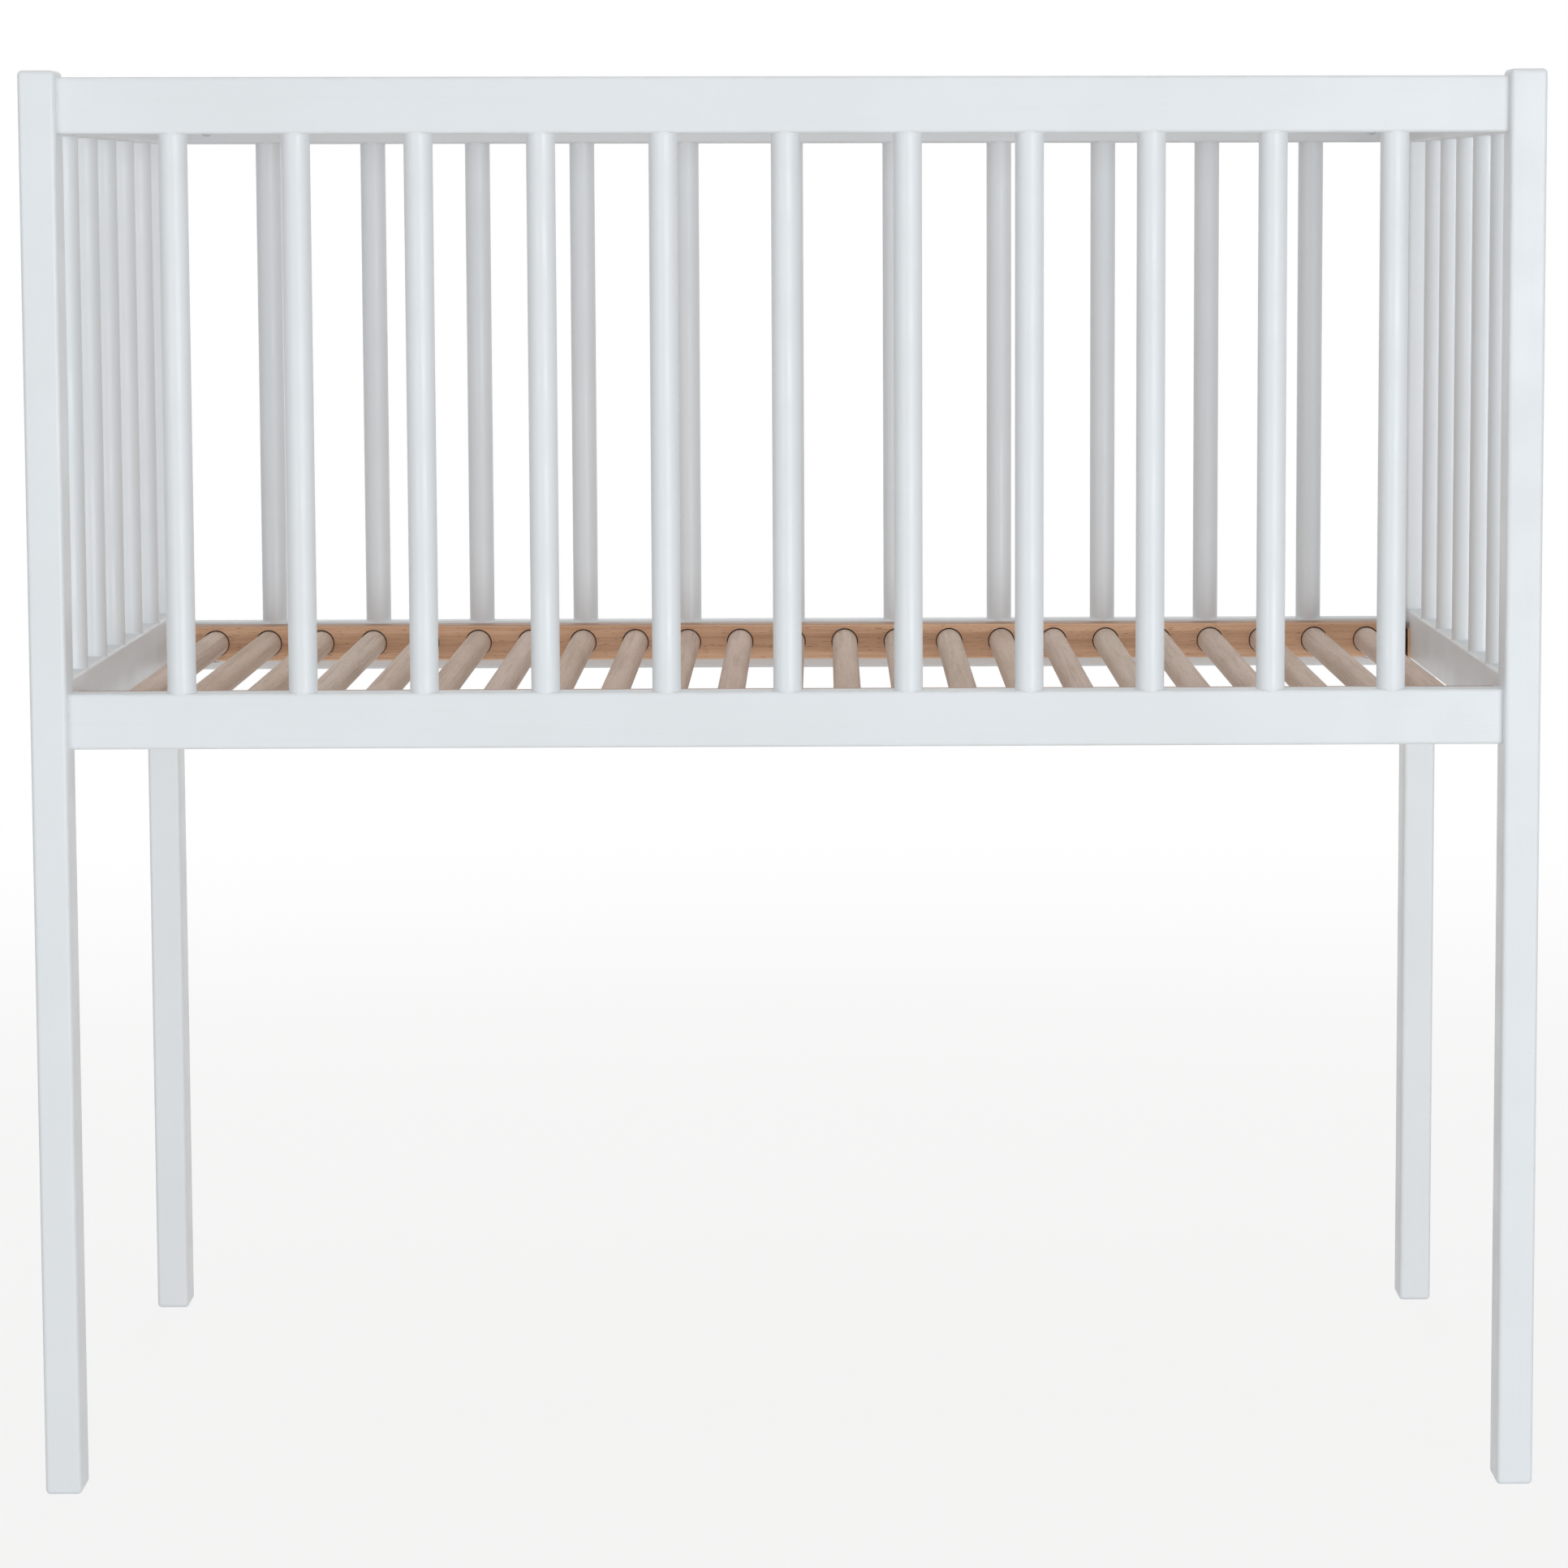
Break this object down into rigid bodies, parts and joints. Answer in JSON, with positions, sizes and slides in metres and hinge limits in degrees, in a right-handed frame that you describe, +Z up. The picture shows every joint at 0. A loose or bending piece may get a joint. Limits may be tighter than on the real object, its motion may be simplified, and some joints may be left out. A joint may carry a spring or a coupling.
{
  "type": "bedside crib",
  "caption": "Freestanding wooden crib at bed height: square white legs, rails and round spindles on four closed sides, with a lift-out base of round wooden slats.",
  "frame": {"origin": "on the floor, in the middle of the crib's footprint", "axes": "+X along the crib to the viewer's right, +Y across it from front to back, +Z up"},
  "size_m": [0.946, 0.551, 0.897],
  "materials": {
    "white_paint": "satin white paint over solid wood",
    "beech": "oiled steamed beech, straight grain along the rail",
    "dowel_wood": "sanded, unvarnished turned dowel",
    "pin_wood": "unfinished hardwood locating pin",
    "zinc_steel": "bright zinc plating",
    "yellow_zinc_steel": "yellow passivated zinc plating"
  },
  "bodies": {
    "crib_frame": {"back_bottom_rail": "white_paint", "back_left_post": "white_paint", "back_right_post": "white_paint", "back_spindle_01": "white_paint", "back_spindle_02": "white_paint", "back_spindle_03": "white_paint", "back_spindle_04": "white_paint", "back_spindle_05": "white_paint", "back_spindle_06": "white_paint", "back_spindle_07": "white_paint", "back_spindle_08": "white_paint", "back_spindle_09": "white_paint", "back_spindle_10": "white_paint", "back_spindle_11": "white_paint", "back_top_rail": "white_paint", "barrel_nuts": "zinc_steel", "base_brackets": "yellow_zinc_steel", "bracket_screws": "yellow_zinc_steel", "connector_bolts": "zinc_steel", "frame_pins": "pin_wood", "front_bottom_rail": "white_paint", "front_left_post": "white_paint", "front_right_post": "white_paint", "front_spindle_01": "white_paint", "front_spindle_02": "white_paint", "front_spindle_03": "white_paint", "front_spindle_04": "white_paint", "front_spindle_05": "white_paint", "front_spindle_06": "white_paint", "front_spindle_07": "white_paint", "front_spindle_08": "white_paint", "front_spindle_09": "white_paint", "front_spindle_10": "white_paint", "front_spindle_11": "white_paint", "front_top_rail": "white_paint", "left_bottom_rail": "white_paint", "left_spindle_01": "white_paint", "left_spindle_02": "white_paint", "left_spindle_03": "white_paint", "left_spindle_04": "white_paint", "left_spindle_05": "white_paint", "left_top_rail": "white_paint", "panel_pins": "pin_wood", "right_bottom_rail": "white_paint", "right_spindle_01": "white_paint", "right_spindle_02": "white_paint", "right_spindle_03": "white_paint", "right_spindle_04": "white_paint", "right_spindle_05": "white_paint", "right_top_rail": "white_paint"},
    "slat_base": {"base_front_rail": "beech", "base_back_rail": "beech", "base_dowels": "dowel_wood"}
  },
  "joints": [
    {"name": "slat_base_lift", "type": "slide", "parent": "crib_frame", "child": "slat_base", "axis": [0, 0, 1], "range_m": [0, 0.43]}
  ]
}
